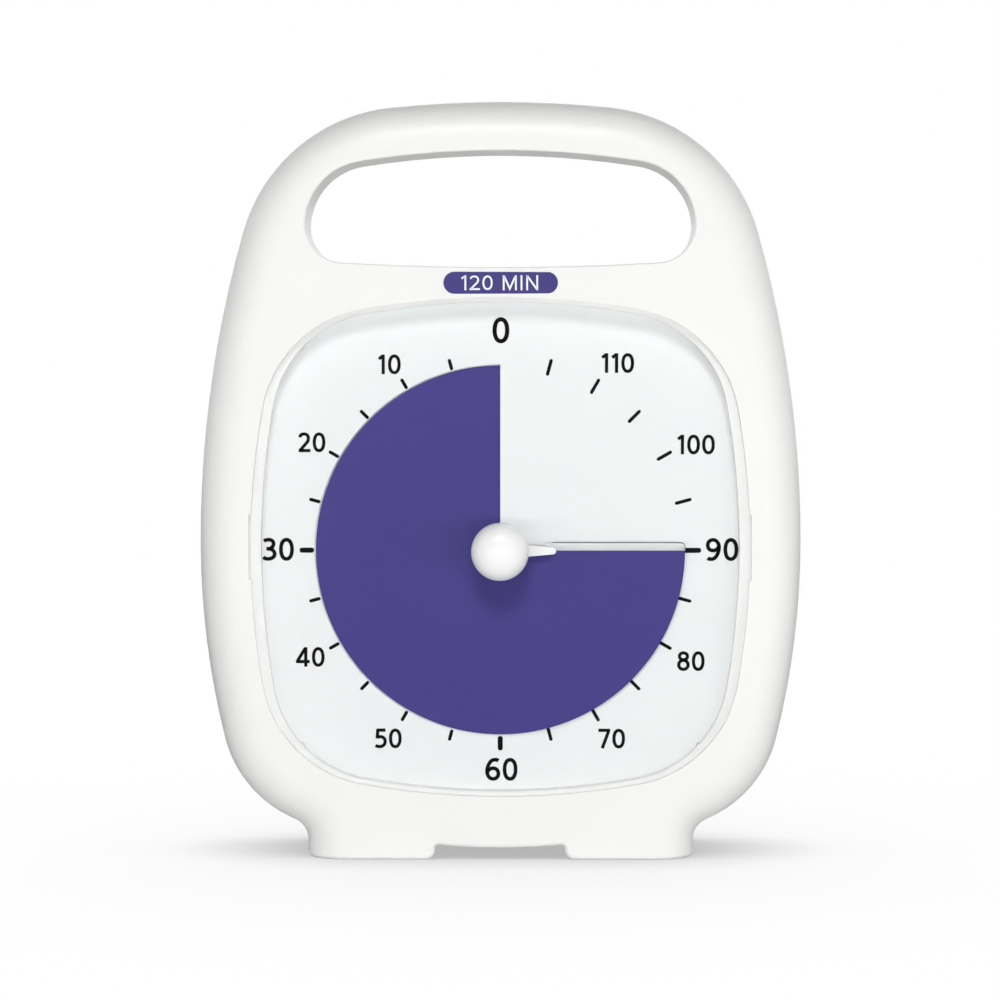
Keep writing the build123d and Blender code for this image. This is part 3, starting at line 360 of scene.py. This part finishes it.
def pen_stroke(bm, path, width, thickness, closed=False):
    """A line of even width along points of the XY plane, raised along Z, with square ends.

    The nib is one edge across the path, drawn along it from point to point and mitred at the turns.
    """
    nibs = []
    for i, point in enumerate(path):
        ways = []
        if i or closed:
            ways.append((point - path[i - 1]).normalized())
        if i < len(path) - 1 or closed:
            ways.append((path[(i + 1) % len(path)] - point).normalized())
        way = sum(ways, Vector((0, 0))).normalized()
        mitred = width / max(MITRE_LIMIT, way.dot(ways[0]))
        nibs.append(Matrix.Translation((*point, 0)) @ Matrix.Rotation(math.atan2(way.y, way.x), 4, "Z")
                    @ Matrix.Diagonal((width, mitred, width, 1)))
    first = nib = bm.edges.new([bm.verts.new(nibs[0] @ Vector((0, side, 0))) for side in (-0.5, 0.5)])
    ribbon = []
    for before, after in zip(nibs, nibs[1:]):
        drawn = bmesh.ops.extrude_edge_only(bm, edges=[nib])["geom"]
        ends = corners(drawn)
        bmesh.ops.transform(bm, matrix=after @ before.inverted(), verts=ends)
        ribbon += [part for part in drawn if isinstance(part, bmesh.types.BMFace)]
        nib = bm.edges.get(ends)
    if closed:
        ribbon += bmesh.ops.contextual_create(bm, geom=[first, nib])["faces"]
    raised = bmesh.ops.extrude_face_region(bm, geom=ribbon)["geom"]
    bmesh.ops.translate(bm, verts=corners(raised), vec=(0, 0, thickness))


# ---------------------------------------------------------------- signs
FOOT, HEAD = 0.0775, 0.9225  # the middle of a pen stroke along the foot or the head of a sign one unit high
STEM = 0.0775                # and along its left side
ROUND = 0.5523               # the handle that makes a Bezier quarter round, in radii


def line(*points):
    """A straight-sided pen path."""
    return [(x, y, 0, 0) for x, y in points], False


def bend(*knots):
    """A curved pen path with two ends."""
    return list(knots), False


def ring(x, y, across, up):
    """An oval pen path round a centre, with its half width and half height."""
    h, v = ROUND * across, ROUND * up
    return [(x, y + up, -h, 0), (x - across, y, 0, -v), (x, y - up, h, 0), (x + across, y, 0, v)], True


SIX = ((0.57, 0.865, -0.05, 0.035), (0.40, HEAD, -0.20, 0), (STEM, 0.41, 0, -0.20), (0.335, FOOT, 0.14, 0),
       (0.575, 0.31, 0, 0.14), (0.345, 0.545, -0.14, 0), (0.09, 0.36, -0.035, -0.10))
# Every sign one unit high: its width, and its pen paths with whether each is closed.
SIGNS = {
    "0": (0.64, [([(0.32, HEAD, -0.15, 0), (STEM, 0.5, 0, -0.26), (0.32, FOOT, 0.15, 0),
                   (0.5625, 0.5, 0, 0.26)], True)]),
    "1": (0.34, [line((0.035, 0.775), (0.25, 0.935)), line((0.262, 1.0), (0.262, 0.0))]),
    "2": (0.60, [bend((0.06, 0.75, 0.02, 0.12), (0.285, HEAD, 0.14, 0), (0.495, 0.70, 0, -0.12),
                      (0.36, 0.42, -0.10, -0.11), (0.075, 0.10, -0.08, -0.07)),
                 line((0.0, FOOT), (0.60, FOOT))]),
    "3": (0.60, [bend((0.05, 0.86, 0.07, 0.045), (0.27, HEAD, 0.12, 0), (0.475, 0.74, 0, -0.11),
                      (0.26, 0.525, -0.10, 0)),
                 line((0.16, 0.525), (0.30, 0.525)),
                 bend((0.26, 0.525, 0.15, 0), (0.52, 0.285, 0, -0.13), (0.24, FOOT, -0.13, 0),
                      (0.02, 0.155, -0.06, 0.045))]),
    "4": (0.70, [line((0.50, 0.0), (0.50, 1.0)), line((0.0, 0.265), (0.70, 0.265)),
                 line((0.055, 0.265), (0.47, 0.94))]),
    "5": (0.58, [line((0.09, 0.925), (0.52, 0.925)), line((0.125, 0.98), (0.09, 0.50)),
                 bend((0.09, 0.535, 0.05, 0.035), (0.27, 0.585, 0.13, 0), (0.50, 0.335, 0, -0.15),
                      (0.24, FOOT, -0.13, 0), (0.01, 0.145, -0.05, 0.035))]),
    "6": (0.65, [bend(*SIX)]),
    "7": (0.60, [line((0.0, 0.925), (0.60, 0.925)), line((0.54, 0.93), (0.20, 0.0))]),
    "8": (0.63, [ring(0.315, 0.745, 0.205, 0.1775), ring(0.315, 0.31, 0.24, 0.2325)]),
    # The nine is the six turned half round.
    "9": (0.65, [bend(*((0.65 - x, 1 - y, -h, -v) for x, y, h, v in SIX))]),
    "M": (0.86, [line((STEM, 0.0), (STEM, 1.0)), line((0.11, 0.93), (0.43, 0.10), (0.75, 0.93)),
                 line((0.7825, 1.0), (0.7825, 0.0))]),
    "I": (0.155, [line((STEM, 0.0), (STEM, 1.0))]),
    "N": (0.74, [line((STEM, 0.0), (STEM, 1.0)), line((0.09, 0.95), (0.65, 0.05)),
                 line((0.6625, 1.0), (0.6625, 0.0))]),
    " ": (0.30, []),
}
# The space after a sign, and the wider one that these uprights need.
SIGN_GAP = 0.12
WIDE_GAPS = {"1": 0.17, "M": 0.17, "I": 0.17}


def lettering(text, height, width, pen, thickness, place):
    """Text drawn with a square pen and centred on its place.

    Its width, unless that is None, is stretched to the one given. pen is the share of the height that the
    pen is wide.
    """
    gaps = [WIDE_GAPS.get(sign, SIGN_GAP) for sign in text[:-1]] + [0.0]
    total = sum(SIGNS[sign][0] for sign in text) + sum(gaps)
    stretch = width / height / total if width else 1.0
    bm = bmesh.new()
    start = -total / 2
    for sign, gap in zip(text, gaps):
        sign_width, paths = SIGNS[sign]
        for knots, closed in paths:
            path = [Vector(((x + start) * stretch, y - 0.5)) for x, y in curve_points(knots, closed)]
            pen_stroke(bm, path, pen, thickness / height, closed)
        start += sign_width + gap
    bmesh.ops.recalc_face_normals(bm, faces=bm.faces)
    bmesh.ops.scale(bm, verts=bm.verts, vec=(height, height, height))
    bmesh.ops.transform(bm, matrix=place, verts=bm.verts)
    return bm


# ---------------------------------------------------------------- printing on the dial
INK_ROOT = 0.005 * MM    # how far ink reaches into what carries it, so that no gap shows
PIECE_ROOT = 0.01 * MM   # the same for the film's edge and the badge
ink_thickness = 0.04 * MM
ink_y = dial_face_y + INK_ROOT

# Ticks: start and end out from the dial's centre, and width, in millimetres.
FINE_TICK, BOLD_TICK = (42.0, 46.0, 0.8), (41.3, 46.7, 1.2)
TICK_STEPS = 24          # of five minutes, round the dial
DROP_CLEARANCE = 0.4     # from the disc's rim to the drop in the dial, in millimetres

# One tick every five minutes, none at the top; the half hours are bolder and longer. On the left half,
# where the dial drops away under the disc, they start outside the drop.
drop_radius = (disc_high.x - disc_low.x) / 2 / MM + DROP_CLEARANCE
ticks = bmesh.new()
for step in range(1, TICK_STEPS):
    start, end, width = BOLD_TICK if step % 6 == 0 else FINE_TICK
    start = max(start, drop_radius) if step <= TICK_STEPS / 2 else start
    turn = Matrix.Rotation(math.radians(90 + 360 / TICK_STEPS * step), 4, "Z")
    place = on_front(0, dial_z, ink_y) @ turn @ Matrix.Translation(((start + width / 2) * MM, 0, 0))
    rounded_bar(ticks, (end - start) * MM, width * MM, ink_thickness, place)
piece("dial_ticks", ticks, ink_black, "case")

# Minutes counted counter-clockwise: text, height, and place to the right of and above the dial's centre.
MINUTES = (("0", 6.0, 0.15, 51.1), ("10", 4.55, -25.75, 43.2), ("20", 4.55, -43.75, 25.1),
           ("30", 5.3, -51.65, 0.2), ("40", 4.55, -44.25, -24.9), ("50", 4.55, -26.05, -43.9),
           ("60", 5.3, 0.25, -51.1), ("70", 4.55, 25.95, -43.9), ("80", 4.55, 44.35, -25.8),
           ("90", 5.3, 51.55, 0.2), ("100", 4.55, 45.45, 24.6), ("110", 4.55, 27.25, 43.5))
NUMBER_PEN = 0.165  # the pen's width as a share of the numbers' height
for text, height, x, z in MINUTES:
    place = on_front(x * MM, dial_z + z * MM, ink_y)
    number = lettering(text, height * MM, None, NUMBER_PEN, ink_thickness, place)
    piece("dial_number_" + text, number, ink_black, "case")

# ---------------------------------------------------------------- painted shade along the edge of the clear film
# A thin grey line of painted shade stands in for the darkening along the film's top, from near the knob, and
# down its outer end. Places are in millimetres from the dial's centre.
edge_start, edge_end, edge_top, edge_foot = 12.1, 42.9, 1.85, 0.1
corner, handle = 1.0, 0.55
edge_width, edge_thickness = 0.2, 0.03
film_front_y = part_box("disc_edge_strip")[0].y
top_corner, end_corner = (edge_end - corner, edge_top), (edge_end, edge_top - corner)
edge_path = curve_points([(edge_start, edge_top, 0, 0), (*top_corner, 0, 0), (*top_corner, handle, 0),
                          (*end_corner, 0, -handle), (*end_corner, 0, 0), (edge_end, edge_foot, 0, 0)], False)
# The line of painted shade, laid on the film's front and carried by the disc.
edge_shade_line = bmesh.new()
pen_stroke(edge_shade_line, [point * MM for point in edge_path], edge_width * MM, edge_thickness * MM)
bmesh.ops.recalc_face_normals(edge_shade_line, faces=edge_shade_line.faces)
bmesh.ops.transform(edge_shade_line, matrix=on_front(0, dial_z, film_front_y + PIECE_ROOT), verts=edge_shade_line.verts)
piece("film_edge_painted_shade", edge_shade_line, painted_edge_shade, "disc")

# ---------------------------------------------------------------- badge
# Violet pill between the handle opening and the window, with the full scale written on it.
badge_length, badge_height, badge_thickness = 26.4, 5.07, 0.10
badge_x, badge_z = 0.15, 133.45
badge_y = face_y + PIECE_ROOT
badge_left = badge_x - (badge_length - badge_height) / 2
badge = bmesh.new()
rounded_bar(badge, badge_length * MM, badge_height * MM, badge_thickness * MM,
            on_front(badge_left * MM, badge_z * MM, badge_y))
piece("duration_badge", badge, badge_violet, "case")

letters_height, letters_width, letters_x, letters_thickness = 3.46, 17.9, -0.08, 0.03
letters_pen = 0.125  # as a share of their height
letters_y = badge_y - badge_thickness * MM + INK_ROOT
letters = lettering("120 MIN", letters_height * MM, letters_width * MM, letters_pen, letters_thickness * MM,
                    on_front(letters_x * MM, badge_z * MM, letters_y))
piece("duration_lettering", letters, badge_white, "case")


# ---------------------------------------------------------------- studio
WHITE = colour("#FFFFFF")
MIRRORED_DARK = 0.06  # level of the floor and of the camera's side of the room in reflections
# The shadows on the paper: how far each reaches in metres, the openness where it is darkest and the one
# where it ends, and its darkest level.
FLOOR_SHADOWS = ((0.030, 0.0, 0.85, 0.58), (0.20, 0.2, 0.95, 0.80))
# The room by direction. Y goes from -1 on the camera's side to 1 behind the timer: it turns white between
# these two. Z goes from -1 below to 1 above: the fill fades from the first level to the second between
# these two.
ROOM_TURNS_WHITE = (-0.6, 0.2)
FILL_FADES, FILL_LEVELS = (0.25, 0.65), (0.24, 0.01)


def studio_floor():
    """White paper that shows the camera only the soft shadow round the feet, and is dark in reflections."""
    made = bare(bpy.data.materials.new("white_paper_floor"))
    shades = []
    for reach, closed, opened, darkest in FLOOR_SHADOWS:
        openness = add(made, "ShaderNodeAmbientOcclusion", {"samples": 16, "Distance": reach})
        shades.append(add(made, "ShaderNodeMapRange", {"From Min": closed, "From Max": opened,
                                                       "To Min": darkest, "To Max": 1.0},
                          Value=openness.outputs["AO"]))
    shade = add(made, "ShaderNodeMath", {"operation": "MULTIPLY"}, _0=shades[0].outputs[0],
                _1=shades[1].outputs[0])
    shown = add(made, "ShaderNodeEmission", {"Color": WHITE}, Strength=shade.outputs[0])
    paper = add(made, "ShaderNodeBsdfDiffuse", {"Color": colour("#F8F8F8")})
    dark = add(made, "ShaderNodeEmission", {"Color": WHITE, "Strength": MIRRORED_DARK})
    rays = add(made, "ShaderNodeLightPath")
    mirrored = add(made, "ShaderNodeMath", {"operation": "MAXIMUM"}, _0=rays.outputs["Is Glossy Ray"],
                   _1=rays.outputs["Is Transmission Ray"])
    unseen = add(made, "ShaderNodeMixShader", None, _0=mirrored.outputs[0], _1=paper.outputs[0],
                 _2=dark.outputs[0])
    both = add(made, "ShaderNodeMixShader", None, _0=rays.outputs["Is Camera Ray"], _1=unseen.outputs[0],
               _2=shown.outputs[0])
    add(made, "ShaderNodeOutputMaterial", None, Surface=both.outputs[0])
    bm = bmesh.new()
    bmesh.ops.create_grid(bm, x_segments=1, y_segments=1, size=6.0)
    floor = mesh_object("studio_floor", bm, made)


def studio_world():
    """White to the eye and in reflections of what lies behind, dark in those of the camera's side.

    The diffuse light is a dim fill from low down all round.
    """
    world = bare(bpy.data.worlds.new("studio"))
    bpy.context.scene.world = world
    rays = add(world, "ShaderNodeLightPath")
    place = add(world, "ShaderNodeTexCoord")
    way = add(world, "ShaderNodeSeparateXYZ", None, _0=place.outputs["Generated"])
    behind = add(world, "ShaderNodeMapRange",
                 {"From Min": ROOM_TURNS_WHITE[0], "From Max": ROOM_TURNS_WHITE[1],
                  "To Min": MIRRORED_DARK, "To Max": 1.0}, Value=way.outputs["Y"])
    low_down = add(world, "ShaderNodeMapRange",
                   {"From Min": FILL_FADES[0], "From Max": FILL_FADES[1],
                    "To Min": FILL_LEVELS[0], "To Max": FILL_LEVELS[1]}, Value=way.outputs["Z"])
    fill = add(world, "ShaderNodeBackground", {"Color": WHITE}, Strength=low_down.outputs[0])
    room = add(world, "ShaderNodeBackground", {"Color": WHITE}, Strength=behind.outputs[0])
    white = add(world, "ShaderNodeBackground", {"Color": WHITE, "Strength": 1.0})
    unseen = add(world, "ShaderNodeMixShader", None, _0=rays.outputs["Is Diffuse Ray"], _1=room.outputs[0],
                 _2=fill.outputs[0])
    both = add(world, "ShaderNodeMixShader", None, _0=rays.outputs["Is Camera Ray"], _1=unseen.outputs[0],
               _2=white.outputs[0])
    add(world, "ShaderNodeOutputWorld", None, Surface=both.outputs[0])


def softbox(name, place, aim, size, power, mirrored=True):
    """A rectangular soft light, turned towards a point.

    Places and sizes are in metres, and power is in watts. mirrored says whether it shows in reflections.
    """
    lamp = bpy.data.lights.new(name, "AREA")
    lamp.shape, lamp.size, lamp.size_y, lamp.energy = "RECTANGLE", size[0], size[1], power
    holder = in_scene(name, lamp)
    holder.location = place
    holder.rotation_euler = (Vector(aim) - Vector(place)).to_track_quat("-Z", "Y").to_euler()
    holder.visible_glossy = holder.visible_transmission = mirrored


studio_floor()
studio_world()
# The key hangs high in front. A long strip near the floor lifts the feet and what faces down, and a wide
# lamp behind lights the back and the edges of the case.
softbox("key_softbox", place=(0.0, -1.14, 1.00), aim=(0, 0, 0.08), size=(0.44, 0.35), power=7.4)
softbox("low_softbox", place=(0.07, -0.45, 0.035), aim=(0, 0, 0.0), size=(1.8, 0.05), power=2.2,
        mirrored=False)
softbox("back_softbox", place=(0.0, 1.30, 0.45), aim=(0, 0, 0.08), size=(1.8, 0.9), power=13.0,
        mirrored=False)

# ---------------------------------------------------------------- camera
# A long lens 0.8 m in front of the case, a little above the dial and aimed slightly down. Lens and places
# are in millimetres.
focal_length, sensor_width = 124.9, 36.0
eye_x, eye_z, eye_distance = 8.05, 112.0, 800
aim_z = 83.4
camera = bpy.data.cameras.new("product_camera")
camera.sensor_width, camera.lens = sensor_width, focal_length
eye = in_scene("product_camera", camera)
eye.location = (eye_x * MM, face_y - eye_distance * MM, eye_z * MM)
eye.rotation_euler = (Vector((0.0, face_y, aim_z * MM)) - eye.location).to_track_quat("-Z", "Y").to_euler()
bpy.context.scene.camera = eye
bpy.context.scene.view_settings.view_transform = "Standard"
